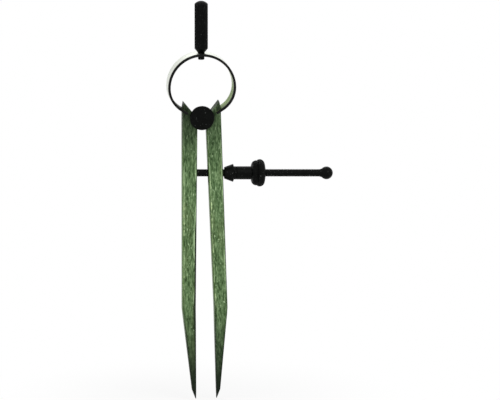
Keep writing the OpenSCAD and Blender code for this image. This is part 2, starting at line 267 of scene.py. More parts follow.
class Surface(NodeWorks):
    """The tree of one new material, with the shader that it ends in."""

    def __init__(self, name: str) -> None:
        """Makes the material and its shader.

        Args:
            name: Name of the material.
        """
        self.material = bpy.data.materials.new(name)
        self.material.use_nodes = True
        super().__init__(self.material.node_tree)
        self.shader = self.node("ShaderNodeBsdfPrincipled")
        self.node("ShaderNodeOutputMaterial", {"Surface": Sock(self, self.shader.outputs[0])})

    def feed(self, inputs: dict) -> None:
        """Sets or links sockets of the shader."""
        self.fill(self.shader, inputs)

    def millimetres(self, turn: float = 0.0) -> list[Sock]:
        """Object coordinates in millimetres, turned about the front-to-back axis.

        Args:
            turn: Angle in radians.

        Returns:
            The three coordinates.
        """
        place = self.add("ShaderNodeTexCoord", out="Object")
        inputs = {"Vector": place, "Rotation": (0, turn, 0), "Scale": (1 / MM, 1 / MM, 1 / MM)}
        return self.split(self.add("ShaderNodeMapping", inputs))

    def attribute(self, name: str) -> Sock:
        """A value that the mesh stores at each point."""
        return self.add("ShaderNodeAttribute", out="Fac", attribute_name=name)

    def noise(self, place: Iterable[object], detail: int, roughness: float = 0.5) -> Sock:
        """Smooth noise with features about one unit across.

        Args:
            place: Its three coordinates, already stretched.
            detail: Number of finer layers.
            roughness: Strength of the finer layers.

        Returns:
            A value about 0.5.
        """
        point = self.add("ShaderNodeCombineXYZ", dict(enumerate(place)))
        inputs = {"Vector": point, "Scale": 1.0, "Detail": detail, "Roughness": roughness}
        return self.add("ShaderNodeTexNoise", inputs)

    def bump(self, height: Sock, depth: float) -> Sock:
        """Normal of a surface bumped by a height from 0 to 1, which stands for a depth in millimetres."""
        return self.add("ShaderNodeBump", {"Height": height, "Strength": 1.0, "Distance": depth * MM})


class Side(Enum):
    """Which side of the tool a piece belongs to, as the sign of its x."""

    LEFT = -1
    RIGHT = 1

    def leg(self) -> str:
        """Name of this side's leg, which is both its node and its body."""
        return f"{self.name.lower()}_leg"


@dataclass(frozen=True)
class LegLook:
    """What differs between the looks of the two legs. The lean is in radians."""

    side: Side
    lean: float
    seed: float
    edge_shade_line: float
    top_shade_share: float


class Finish:
    """A surface finish that builds its own material."""

    def material(self, name: str) -> Material:
        """Builds the finish.

        Args:
            name: Name of the material.

        Returns:
            The material.
        """
        surface = Surface(name)
        self.dress(surface)
        return surface.material

    def dress(self, surface: Surface) -> None:
        """Feeds the shader. Each finish has its own way."""
        raise NotImplementedError


@dataclass(frozen=True)
class LegSteel(Finish):
    """Green tinted steel, brushed along the leg, with painted highlights, glints and shade along its edges
    and sides, painted shade on its top and round its notch and flange, and dark at its point.

    Lengths are in millimetres. A ramp gives its start and its end, and its most where that is not 1.
    A streak gives its width, its length and its finer layers.
    """

    look: LegLook
    tip_level: float
    fulcrum_level: float
    notch_x: float
    notch_rise: float
    dark: Colour = linear(50, 72, 40)
    middle: Colour = linear(92, 120, 78)
    light: Colour = linear(132, 160, 114)
    # The fleck colour also paints the highlight along the front arris.
    fleck: Colour = linear(186, 214, 166)
    glint: Colour = linear(214, 236, 178)
    olive: Colour = linear(98, 108, 66)
    # Colour of the painted shading on the left-facing side faces.
    side: Colour = linear(90, 121, 58)
    point: Colour = linear(13, 21, 15)
    grain: Streak = (0.72, 2.7, 3)
    band: Streak = (1.5, 11.0, 2)
    spot: Streak = (0.7, 1.9, 2)
    patch: Streak = (5.0, 24.0, 1)
    streak_roughness: float = 0.6
    stops: tuple[float, float, float] = (0.38, 0.5, 0.63)
    grain_share: float = 0.68
    olive_ramp: Ramp = (0.45, 0.7, 0.28)
    fleck_ramp: Ramp = (0.61, 0.74, 0.8)
    left_range: Ramp = (-0.4, -0.6)
    front_range: Ramp = (0.8, 0.95)
    side_ramp: Ramp = (0.4, 0.6, 0.6)
    side_least: float = 0.25
    arris_fade: Ramp = (0.5, 0.1)
    arris_bands: Ramp = (0.42, 0.6, 0.85)
    arris_levels: Ramp = (-108.0, -92.0)
    glint_fade: Ramp = (0.65, 0.3)
    glint_spots: Ramp = (0.5, 0.6)
    glint_bands: Ramp = (0.4, 0.55, 0.8)
    glint_levels: Ramp = (-24.0, -46.0)
    line_inset: float = 0.72
    line_fade: Ramp = (0.54, 0.315, 0.85)
    line_levels: Ramp = (-50.0, -64.0)
    line_spread: float = 1.3
    middle_top: float = 6.3
    middle_slope: float = 0.0126
    middle_blur: float = 0.2
    waist_level: float = -103.5
    waist_middle: float = 5.0
    taper_slope: float = 0.08
    point_fade: Ramp = (58.0, 3.0, 0.97)
    outline_fade: Ramp = (1.1, 0.3, 0.9)
    outline_levels: Ramp = (66.0, 30.0)
    bevel_range: Ramp = (0.35, 0.55)
    bevel_patches: Ramp = (0.5, 0.6, 0.3)
    bevel_least: float = 0.3
    bevel_line: float = 0.6
    bevel_most: float = 0.92
    top_levels: Ramp = (-34.0, 6.0)
    horn_levels: Ramp = (1.0, 7.0, 0.85)
    notch_shadow_fade: Ramp = (4.8, 1.2, 0.9)
    flange_shadow_fade: Ramp = (8.9, 6.3, 0.8)
    roughness: float = 0.56
    grain_polish: float = 0.22
    metallic: float = 0.5
    specular: float = 0.08
    bump_grain: float = 0.7
    bump_depth: float = 0.05

    def dress(self, surface: Surface) -> None:
        """Streaks and flecks, painted highlights and glints along the edges, painted shade and a black
        point.
        """
        x, y, z = surface.millimetres(self.look.lean)
        across = x + self.look.seed
        fine, bands, spots, broad = (
            surface.noise((across / width, y / width, z / length), detail, self.streak_roughness)
            for width, length, detail in (self.grain, self.band, self.spot, self.patch))
        brush = fine * self.grain_share + bands * (1 - self.grain_share)
        colour = surface.gradient(brush, list(zip(self.stops, (self.dark, self.middle, self.light))))
        colour = surface.mix(broad.ramp(*self.olive_ramp), colour, self.olive)
        colour = surface.mix(spots.ramp(*self.fleck_ramp), colour, self.fleck)
        sideways, depthways, _ = surface.split(surface.add("ShaderNodeTexCoord", out="Normal"))
        front = abs(depthways).ramp(*self.front_range)
        # Painted shading: the left-facing side faces take the side colour, speckled.
        speckled = self.side_least + spots.ramp(*self.side_ramp)
        colour = surface.mix(sideways.ramp(*self.left_range) * speckled, colour, self.side)
        edge = surface.attribute(EDGE_DISTANCE) / MM
        level = z - self.fulcrum_level
        above = level.ramp(*self.arris_levels)
        right = self.right_half(x, level)
        shade_line_share = right * level.ramp(*self.line_levels) * self.look.edge_shade_line
        inward = abs(edge - shade_line_share * self.line_inset)
        # Painted highlight along the front arris, in the fleck colour, broken into bands.
        arris_highlight = inward.ramp(*self.arris_fade) * front * bands.ramp(*self.arris_bands)
        colour = surface.mix(arris_highlight * above, colour, self.fleck)
        # Painted glints: broken spots of the glint colour along the left-hand edges.
        bright = edge.ramp(*self.glint_fade) * front * (1 - right) * level.ramp(*self.glint_levels)
        broken = spots.ramp(*self.glint_spots) * bands.ramp(*self.glint_bands)
        colour = surface.mix(bright * broken * above, colour, self.glint)
        # Painted shade: a dark line along the right-hand edge of the lower leg, with the highlight moved
        # inside it.
        spread = 1 + (1 - above) * self.line_spread
        line = (edge / spread).ramp(*self.line_fade) * shade_line_share
        shade = self.shade(surface, z, edge, sideways, broad).most(line)
        height = fine * self.bump_grain + spots * (1 - self.bump_grain)
        surface.feed({"Base Color": surface.mix(shade, colour, self.point),
                      "Roughness": self.roughness - fine * self.grain_polish,
                      "Metallic": self.metallic * (1 - shade),
                      "Specular IOR Level": self.specular,
                      "Normal": surface.bump(height, self.bump_depth)})

    def right_half(self, x: Sock, level: Sock) -> Sock:
        """Whether a place is on the right-hand half of the leg.

        Args:
            x: Place across the leg in millimetres.
            level: Height in millimetres above the fulcrum.

        Returns:
            1 on the right-hand half of the leg and 0 on its left-hand half.
        """
        waist = self.waist_middle + (level - self.waist_level) * self.taper_slope
        middle = (self.middle_top + level * self.middle_slope).least(waist)
        upright = self.fulcrum_level * math.sin(self.look.lean)
        place = x - upright - self.look.side.value * middle
        return place.ramp(-self.middle_blur, self.middle_blur)

    def shade(self, surface: Surface, z: Sock, edge: Sock, sideways: Sock, broad: Sock) -> Sock:
        """How dark the steel is: black towards its point and along the point's edges, and painted shade on
        its right-facing bevel, its top and horns, round the notch and round the flange.

        Args:
            surface: The material's tree.
            z: Height in millimetres along the leg.
            edge: Distance to the nearest edge in millimetres.
            sideways: How far the surface faces right, from -1 to 1.
            broad: Wide patches along the leg.

        Returns:
            The share of black.
        """
        above_tip = z - self.tip_level
        level = z - self.fulcrum_level
        # Darker towards the point, and along its edges near the point.
        point_dark = above_tip.ramp(*self.point_fade)
        outline = edge.ramp(*self.outline_fade) * above_tip.ramp(*self.outline_levels)
        # Painted shade on the right-facing bevels and sides, in patches and stronger by the dark edge line.
        shade_line_share = level.ramp(*self.line_levels) * self.look.edge_shade_line * self.bevel_line
        patchy = broad.ramp(*self.bevel_patches)
        bevel = sideways.ramp(*self.bevel_range) * (self.bevel_least + shade_line_share + patchy)
        # Painted shade: darker towards the top of the leg and on its horns.
        top = level.ramp(*self.top_levels) * self.look.top_shade_share
        horn_shade = level.ramp(*self.horn_levels)
        x, _, height = surface.millimetres()
        rise = height - self.fulcrum_level
        notch = (x - self.look.side.value * self.notch_x).reach(rise - self.notch_rise)
        # Painted shadow round the notch where the bow's end sits.
        notch_shadow = notch.ramp(*self.notch_shadow_fade)
        # Painted shadow on the leg round the fulcrum's flange.
        flange_shadow = x.reach(rise).ramp(*self.flange_shadow_fade)
        darkest = point_dark.most(outline).most(bevel.least(self.bevel_most))
        return darkest.most(top.most(horn_shade)).most(notch_shadow).most(flange_shadow)


@dataclass(frozen=True)
class BowSteel(Finish):
    """Spring strip brushed along its length: olive inside with a painted reflection towards the crown and
    painted shade at its left-hand end, pale satin outside, painted shade on its front edge and a painted
    shadow round the handle's foot.

    Lengths are in millimetres, and levels are above the fulcrum.
    """

    half_width: float
    fulcrum_level: float
    centre_height: float
    radius: float
    face: Colour = linear(156, 178, 120)
    shade: Colour = linear(94, 118, 62)
    painted_sheen: Colour = linear(204, 214, 184)
    polished: Colour = linear(220, 225, 212)
    scratch: Colour = linear(160, 169, 147)
    # Black for the painted shade on the front edge and the left-hand end, the thin rear line and the
    # painted shadow round the handle's foot.
    edge: Colour = linear(9, 10, 8)
    line: Streak = (0.7, 14.0, 3)
    cloud: Streak = (4.0, 4.0, 2)
    crown_blur: float = 0.1
    half_shift: float = 60.0
    line_share: float = 0.65
    face_range: Ramp = (0.36, 0.62)
    painted_sheen_levels: Ramp = (14.0, 23.0, 0.8)
    left_end_places: Ramp = (-9.0, -11.0)
    left_end_levels: Ramp = (14.0, 10.0, 0.9)
    scratch_range: Ramp = (0.6, 0.36)
    crown_dull: float = 0.6
    dull_levels: Ramp = (30.0, 13.0)
    stain_levels: Ramp = (11.0, 4.0)
    stain_ramp: Ramp = (0.3, 0.6, 0.6)
    outer_range: Ramp = (0.3, 0.7)
    edge_depth: float = 1.4
    edge_blur: float = 0.2
    rear_depth: float = 0.1
    seat_shadow_half: float = 1.9
    seat_shadow_fade: Ramp = (1.05, 0.9)
    roughness: float = 0.4
    line_roughness: float = 0.2
    outer_polish: float = 0.08
    rim_roughness: float = 0.2
    metallic: float = 0.45
    outer_metallic: float = 0.5
    coat_index: float = 1.8
    coat_roughness: float = 0.35
    specular: float = 0.15
    bump_depth: float = 0.012

    def dress(self, surface: Surface) -> None:
        """Brushed lines along the strip, satin outside, with painted shade on the front edge and a painted
        shadow round the handle's foot.
        """
        x, y, z = surface.millimetres()
        level = z - self.fulcrum_level
        along = (level - self.centre_height).angle_to(abs(x)) * self.radius
        along = along + x.ramp(-self.crown_blur, self.crown_blur) * self.half_shift
        lines, cloud = (surface.noise((along / length, y / width, 0.0), detail)
                        for width, length, detail in (self.line, self.cloud))
        brush = lines * self.line_share + cloud * (1 - self.line_share)
        inside = surface.mix(brush.ramp(*self.face_range), self.shade, self.face)
        # Painted reflection: the inside pales towards the crown.
        inside = surface.mix(level.ramp(*self.painted_sheen_levels), inside, self.painted_sheen)
        # Painted shade: the inside turns black near the bow's left-hand end.
        left_end_shade = x.ramp(*self.left_end_places) * level.ramp(*self.left_end_levels)
        inside = surface.mix(left_end_shade, inside, self.edge)
        dull = self.crown_dull + level.ramp(*self.dull_levels) * (1 - self.crown_dull)
        stained = level.ramp(*self.stain_levels) * cloud.ramp(*self.stain_ramp)
        scratched = lines.ramp(*self.scratch_range) * dull + stained
        outside = surface.mix(scratched.least(1.0), self.polished, self.scratch)
        outer = surface.attribute(OUTSIDE).ramp(*self.outer_range)
        colour = surface.mix(outer, inside, outside)
        # Share of painted shade and shadow on the edges and round the handle's foot, in black.
        rim = self.edge_shade_and_seat_shadow(x, y)
        plain_roughness = self.roughness + lines * self.line_roughness - outer * self.outer_polish
        surface.feed({"Base Color": surface.mix(rim, colour, self.edge),
                      "Roughness": plain_roughness + rim * outer * self.rim_roughness,
                      "Metallic": (self.metallic + outer * self.outer_metallic) * (1 - rim),
                      "Coat Weight": outer * (1 - rim),
                      "Coat IOR": self.coat_index,
                      "Coat Roughness": self.coat_roughness,
                      "Specular IOR Level": self.specular,
                      "Normal": surface.bump(lines * (1 - outer), self.bump_depth)})

    def edge_shade_and_seat_shadow(self, x: Sock, y: Sock) -> Sock:
        """Where the strip is black: painted shade on its front edge, a thin dark line on the face of its
        rear edge, and a painted shadow round the handle's foot.

        Args:
            x: Place across the bow in millimetres.
            y: Place from front to back in millimetres.

        Returns:
            The share of black.
        """
        inner = self.half_width - self.edge_depth
        # Painted shade on the front edge face and the front of both faces.
        front = (0 - y).ramp(inner, inner + self.edge_blur)
        rear = y.ramp(self.half_width - self.rear_depth, self.half_width - self.rear_depth / 2)
        # Painted shadow on the crown round the handle's foot.
        seat = (x / self.seat_shadow_half).reach(y / self.half_width).ramp(*self.seat_shadow_fade)
        return front.most(rear).most(seat)


@dataclass(frozen=True)
class BlackOxide(Finish):
    """Satin black oxide on turned steel.

    A noise gives its size in millimetres and its finer layers.
    """

    base: Colour = linear(5, 6, 5)
    worn: Colour = linear(15, 17, 16)
    fleck: Colour = linear(128, 132, 129)
    cloud: tuple[float, int] = (3.0, 3)
    grain: tuple[float, int] = (0.25, 2)
    spot: tuple[float, int] = (0.7, 1)
    cloud_ramp: Ramp = (0.42, 0.78, 0.55)
    grain_ramp: Ramp = (0.55, 0.8, 0.25)
    fleck_ramp: Ramp = (0.69, 0.78, 0.45)
    roughness: float = 0.32
    cloud_roughness: float = 0.18
    specular: float = 0.06
    bump_depth: float = 0.012

    def dress(self, surface: Surface) -> None:
        """Near-black with cloudy patches, a fine grain and a few pale flecks."""
        place = surface.millimetres()
        cloud, grain, spots = (surface.noise([part / size for part in place], detail)
                               for size, detail in (self.cloud, self.grain, self.spot))
        patch = cloud.ramp(*self.cloud_ramp)
        patch = patch + grain.ramp(*self.grain_ramp)
        dark = surface.mix(patch, self.base, self.worn)
        flecks = spots.ramp(*self.fleck_ramp)
        surface.feed({"Base Color": surface.mix(flecks, dark, self.fleck),
                      "Roughness": self.roughness + cloud * self.cloud_roughness,
                      "Specular IOR Level": self.specular,
                      "Normal": surface.bump(grain, self.bump_depth)})


def arc(centre: tuple[float, float], radius: float, start: float, end: float, steps: int) -> Profile:
    """Points along an arc of a profile.

    Args:
        centre: Radius and station of the arc's centre.
        radius: Radius of the arc.
        start: First angle in degrees, from the outward direction towards higher stations.
        end: Last angle in degrees.
        steps: Number of straight pieces.

    Returns:
        The points.
    """
    angles = [math.radians(start + (end - start) * i / steps) for i in range(steps + 1)]
    return [(centre[0] + radius * math.cos(a), centre[1] + radius * math.sin(a)) for a in angles]


def divided(start: tuple[float, float], end: tuple[float, float], steps: int) -> Profile:
    """Points along a straight stretch of a profile, without its last one.

    Args:
        start: First point.
        end: Point after the last one.
        steps: Number of points.

    Returns:
        The points.
    """
    return [(start[0] + (end[0] - start[0]) * i / steps, start[1] + (end[1] - start[1]) * i / steps)
            for i in range(steps)]


def mesh_object(name: str, shape: Shape, place: Matrix | None = None) -> Piece:
    """Turns a bmesh into an object at the origin, with its place in its mesh.

    Args:
        name: Name of the piece.
        shape: The shape, which is freed.
        place: Where the shape goes.

    Returns:
        The new object.
    """
    if place is not None:
        shape.transform(place)
    shape.normal_update()
    bmesh.ops.recalc_face_normals(shape, faces=shape.faces)
    if shape.calc_volume(signed=True) < 0:
        bmesh.ops.reverse_faces(shape, faces=shape.faces)
    mesh = bpy.data.meshes.new(name)
    shape.to_mesh(mesh)
    shape.free()
    made = bpy.data.objects.new(name, mesh)
    bpy.context.collection.objects.link(made)
    return made


def lathe(profile: Profile, segments: int, sweep: tuple[float, float] = (0.0, 360.0)) -> Shape:
    """Turns a closed profile of (radius, station) points round the Z axis.

    Args:
        profile: The profile's points in millimetres, in order. Points at radius 0 become one pole.
        segments: Number of steps round the axis.
        sweep: First and last angle in degrees.

    Returns:
        The closed shape in metres.
    """
    shape = bmesh.new()
    first, last = sweep
    whole = last - first >= 360
    count = segments if whole else segments + 1
    rings: list[list[bmesh.types.BMVert]] = []
    for step in range(count):
        angle = math.radians(first + (last - first) * step / segments)
        rings.append([shape.verts.new((r * MM * math.cos(angle), r * MM * math.sin(angle), s * MM))
                      for r, s in profile])
    size = len(profile)
    for step in range(segments):
        one, two = rings[step], rings[(step + 1) % count]
        for i in range(size):
            shape.faces.new((one[i], two[i], two[(i + 1) % size], one[(i + 1) % size]))
    if not whole:
        shape.faces.new(rings[0])
        shape.faces.new(rings[-1])
    bmesh.ops.remove_doubles(shape, verts=shape.verts, dist=SAME_POINT)
    bmesh.ops.dissolve_degenerate(shape, edges=shape.edges, dist=NO_LENGTH)
    loose = [edge for edge in shape.edges if not edge.link_faces]
    bmesh.ops.delete(shape, geom=loose, context="EDGES")
    return shape


def finish_mesh(piece: Piece, material: Material, sharp: float) -> None:
    """Gives a piece its material and smooth faces with sharp corners.

    Args:
        piece: The piece.
        material: Its only material.
        sharp: Angle in degrees above which an edge stays sharp.
    """
    piece.data.materials.clear()
    piece.data.materials.append(material)
    piece.data.polygons.foreach_set("use_smooth", [True] * len(piece.data.polygons))
    piece.data.set_sharp_from_angle(angle=math.radians(sharp))


def apply_modifiers(piece: Piece) -> None:
    """Bakes a piece's modifiers into a plain mesh."""
    graph = bpy.context.evaluated_depsgraph_get()
    graph.update()
    mesh = bpy.data.meshes.new_from_object(piece.evaluated_get(graph), depsgraph=graph)
    piece.modifiers.clear()
    piece.data = mesh
    mesh.name = piece.name


class GeometryTree:
    """A Geometry Nodes tree with named inputs, run once on a piece."""

    def __init__(self, name: str, inputs: dict[str, float]) -> None:
        """Makes the tree's sockets and its first node.

        Args:
            name: Name of the tree.
            inputs: Named sizes in metres, counts or angles.
        """
        self.tree = bpy.data.node_groups.new(name, "GeometryNodeTree")
        self.works = NodeWorks(self.tree)
        self.values = inputs
        face = self.tree.interface
        face.new_socket("Geometry", in_out="INPUT", socket_type="NodeSocketGeometry")
        face.new_socket("Geometry", in_out="OUTPUT", socket_type="NodeSocketGeometry")
        face.new_socket("Material", in_out="INPUT", socket_type="NodeSocketMaterial")
        for key in inputs:
            face.new_socket(key, in_out="INPUT", socket_type="NodeSocketFloat")
        self.entry = self.works.node("NodeGroupInput")

    def value(self, name: str) -> Sock:
        """One named input of the tree."""
        return Sock(self.works, self.entry.outputs[name])

    def position(self) -> list[Sock]:
        """The three coordinates of each point."""
        return self.works.split(self.works.add("GeometryNodeInputPosition"))

    def between(self, place: Sock, rise: float, fall: float) -> Sock:
        """Fades in after the input Start and out before the input End, over lengths in metres."""
        after = ((place - self.value("Start")) / rise).ramp(0, 1)
        return after * ((self.value("End") - place) / fall).ramp(0, 1)

    def sink(self, way: Sock, share: Sock) -> None:
        """Ends the tree by moving each point backwards.

        Args:
            way: Vector to move against.
            share: How many times its length.
        """
        shift = self.works.add("ShaderNodeVectorMath", {0: way, "Scale": 0 - share}, operation="SCALE")
        inputs = {"Geometry": self.value("Geometry"), "Offset": shift}
        self.close(self.works.add("GeometryNodeSetPosition", inputs))

    def close(self, geometry: Sock) -> None:
        """Ends the tree in Realize Instances and Set Material."""
        real = self.works.add("GeometryNodeRealizeInstances", {"Geometry": geometry})
        inputs = {"Geometry": real, "Material": self.value("Material")}
        made = self.works.add("GeometryNodeSetMaterial", inputs)
        self.works.node("NodeGroupOutput", {"Geometry": made})

    def run(self, piece: Piece, material: Material) -> None:
        """Runs the tree on a piece and keeps the result as its mesh.

        Args:
            piece: The piece.
            material: Material that the tree sets.
        """
        modifier = piece.modifiers.new(self.tree.name, "NODES")
        modifier.node_group = self.tree
        for item in self.tree.interface.items_tree:
            if item.in_out == "INPUT" and item.name in self.values:
                modifier[item.identifier] = float(self.values[item.name])
            elif item.in_out == "INPUT" and item.name == "Material":
                modifier[item.identifier] = material
        apply_modifiers(piece)


class Knurl(Enum):
    """Patterns that a knurling wheel leaves."""

    DIAMOND = "diamond"
    STRAIGHT = "straight"


@dataclass(frozen=True)
class KnurlCut:
    """Knurling pressed into a shape turned about Z, between two stations in millimetres."""

    pattern: Knurl
    teeth: int
    depth: float
    start: float
    end: float
    inner: float = 0.0
    run_out: float = 0.25
    pitch: float = 1.0
    flank: Ramp = (0.35, 1.0)

    def press(self, piece: Piece, material: Material) -> None:
        """Presses the pattern into a piece that still stands on the Z axis.

        Args:
            piece: The piece.
            material: Its material.
        """
        sizes = {"Teeth": self.teeth, "Pitch": self.pitch * MM, "Depth": self.depth * MM,
                 "Start": self.start * MM, "End": self.end * MM, "Inner radius": self.inner * MM}
        tree = GeometryTree(f"{self.pattern.value}_knurl", sizes)
        x, y, z = tree.position()
        turn = y.angle_to(x) * tree.value("Teeth") / math.tau
        if self.pattern is Knurl.DIAMOND:
            along = z / tree.value("Pitch")
            groove = (1 - (turn + along).wave()).most(1 - (turn - along).wave())
        else:
            groove = 1 - turn.wave()
        width = self.run_out * MM
        outside = ((x.reach(y) - tree.value("Inner radius")) / width).ramp(0, 1)
        pressed = groove.ramp(*self.flank) * tree.between(z, width, width) * outside
        tree.sink(tree.works.add("GeometryNodeInputNormal"), pressed * tree.value("Depth"))
        tree.run(piece, material)


def joint(name: str) -> dict:
    """A joint of the frame by name."""
    return next(row for row in frame["record"]["behaviour"]["joints"] if row["name"] == name)


def laid_along(pin: Vector, way: Vector) -> Matrix:
    """Matrix that lays the Z axis along the screw.

    Args:
        pin: Where the screw's pin is.
        way: Direction of the screw.

    Returns:
        The matrix, with its start on the pin.
    """
    across = Vector((0, 1, 0))
    turn = Matrix((across.cross(way), across, way)).transposed().to_4x4()
    return Matrix.Translation(pin) @ turn


FULCRUM = Vector(joint("right_leg_swing")["pos_m"])
SCREW_PIN = Vector(joint("screw_swivel")["pos_m"])
ON_SCREW = laid_along(SCREW_PIN, Vector(joint("cup_slide")["axis"]).normalized())
TURNED_TO_FRONT = Matrix.Rotation(math.radians(90), 4, "X")


def settle(piece: Piece, body: str, node: str) -> None:
    """Fastens a finished piece to its body, hides the CAD node that it replaces and logs its faces.

    Args:
        piece: The piece.
        body: CAD body that it rides on.
        node: CAD node that it replaces.
    """
    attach(piece, body)
    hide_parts(node)
    LOG.info("%s: %d faces on %s", piece.name, len(piece.data.polygons), body)


@dataclass
class BlackParts:
    """A group of pieces that share the black finish."""

    black: Material

    def done(self, piece: Piece, body: str, node: str, sharp: float = SHARP,
             slot: str = "black_oxide") -> None:
        """Gives a piece the black finish, with edges sharp above an angle in degrees, and settles it."""
        finish_mesh(piece, self.black, sharp)
        settle(piece, body, node)


@dataclass
class Legs(BlackParts):
    """The two pointed legs with brushed faces, painted highlights and painted shade along their edges, and
    the pin in the left one.

    Lengths are in millimetres, heights are above the fulcrum and angles are in degrees.
    """

    left: LegLook = LegLook(Side.LEFT, math.radians(-1.0), seed=31.0, edge_shade_line=1.0, top_shade_share=0.85)
    right: LegLook = LegLook(Side.RIGHT, math.radians(2.9), seed=87.0, edge_shade_line=0.15, top_shade_share=0.58)
    notch_x: float = 9.9
    notch_rise: float = 4.4
    cut_across: float = 0.4
    cut_along: float = 3.0
    cut_through: float = 0.5
    flat_angle: float = 0.5
    sharp_angle: float = 20.0
    pin_radius: float = 1.0
    pin_chamfer: float = 0.15
    pin_segments: int = 32

    def build(self) -> None:
        """Makes both legs and the pin that shows at the back."""
        for look in (self.left, self.right):
            node = look.side.leg()
            low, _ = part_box(node)
            steel = LegSteel(look, low[2] / MM, FULCRUM.z / MM, self.notch_x, self.notch_rise)
            piece = self.worn(node, look.lean, steel.material(f"{node}_brushed_steel"))
            settle(piece, node, node)
        low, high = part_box("screw_pivot_pin")
        front, back = low[1] / MM, high[1] / MM
        soft = self.pin_radius - self.pin_chamfer
        profile = [(0.0, -back), (soft, -back), (self.pin_radius, self.pin_chamfer - back),
                   (self.pin_radius, -front - self.pin_chamfer), (soft, -front), (0.0, -front)]
        place = Matrix.Translation(SCREW_PIN) @ TURNED_TO_FRONT
        pin = mesh_object("screw_pin", lathe(profile, self.pin_segments), place)
        self.done(pin, "left_leg", "screw_pivot_pin", slot="leg_steel")

    def worn(self, node: str, lean: float, steel: Material) -> Piece:
        """Copy of a leg, cut fine enough to carry each point's distance from the nearest edge, which places
        the painted edge highlights and shade.

        Args:
            node: Name of the leg's node.
            lean: Angle of the leg from upright in radians.
            steel: Its finish.

        Returns:
            The new piece.
        """
        shape = bmesh.new()
        shape.from_mesh(frame["nodes"][node].data)
        bmesh.ops.remove_doubles(shape, verts=shape.verts, dist=SAME_CAD_POINT)
        flat = math.radians(self.flat_angle)
        bmesh.ops.dissolve_limit(shape, angle_limit=flat, verts=shape.verts, edges=shape.edges)
        along = Vector((math.sin(lean), 0, -math.cos(lean)))
        across = Vector((math.cos(lean), 0, math.sin(lean)))
        through = Vector((0, 1, 0))
        for way, step in ((across, self.cut_across), (along, self.cut_along), (through, self.cut_through)):
            self.slice(shape, way, step * MM)
        piece = mesh_object(f"brushed_{node}", shape)
        self.mark_edges(piece, steel)
        finish_mesh(piece, steel, self.sharp_angle)
        return piece

    @staticmethod
    def slice(shape: Shape, way: Vector, step: float) -> None:
        """Cuts a shape with evenly spaced planes and keeps all of it.

        Args:
            shape: The shape.
            way: Direction square to the planes.
            step: Distance between planes.
        """
        reach = [vert.co.dot(way) for vert in shape.verts]
        low = min(reach)
        for i in range(int((max(reach) - low) / step)):
            place = way * (low + (i + 0.5) * step)
            everything = shape.verts[:] + shape.edges[:] + shape.faces[:]
            bmesh.ops.bisect_plane(shape, geom=everything, dist=SAME_POINT, plane_co=place, plane_no=way)

    def mark_edges(self, piece: Piece, steel: Material) -> None:
        """Stores each point's distance from the nearest sharp edge on the mesh.

        Args:
            piece: The leg.
            steel: Its finish.
        """
        tree = GeometryTree("edge_wear", {"Sharp angle": math.radians(self.sharp_angle)})
        works, leg = tree.works, tree.value("Geometry")
        angle = works.add("GeometryNodeInputMeshEdgeAngle", out="Unsigned Angle")
        flat = works.add("FunctionNodeCompare", {"A": angle, "B": tree.value("Sharp angle")},
                         data_type="FLOAT", operation="LESS_THAN")
        edges = works.add("GeometryNodeDeleteGeometry", {"Geometry": leg, "Selection": flat},
                          domain="EDGE", mode="EDGE_FACE")
        away = works.add("GeometryNodeProximity", {0: edges}, out="Distance", target_element="EDGES")
        inputs = {"Geometry": leg, "Name": EDGE_DISTANCE, "Value": away}
        tree.close(works.add("GeometryNodeStoreNamedAttribute", inputs, data_type="FLOAT", domain="POINT"))
        tree.run(piece, steel)


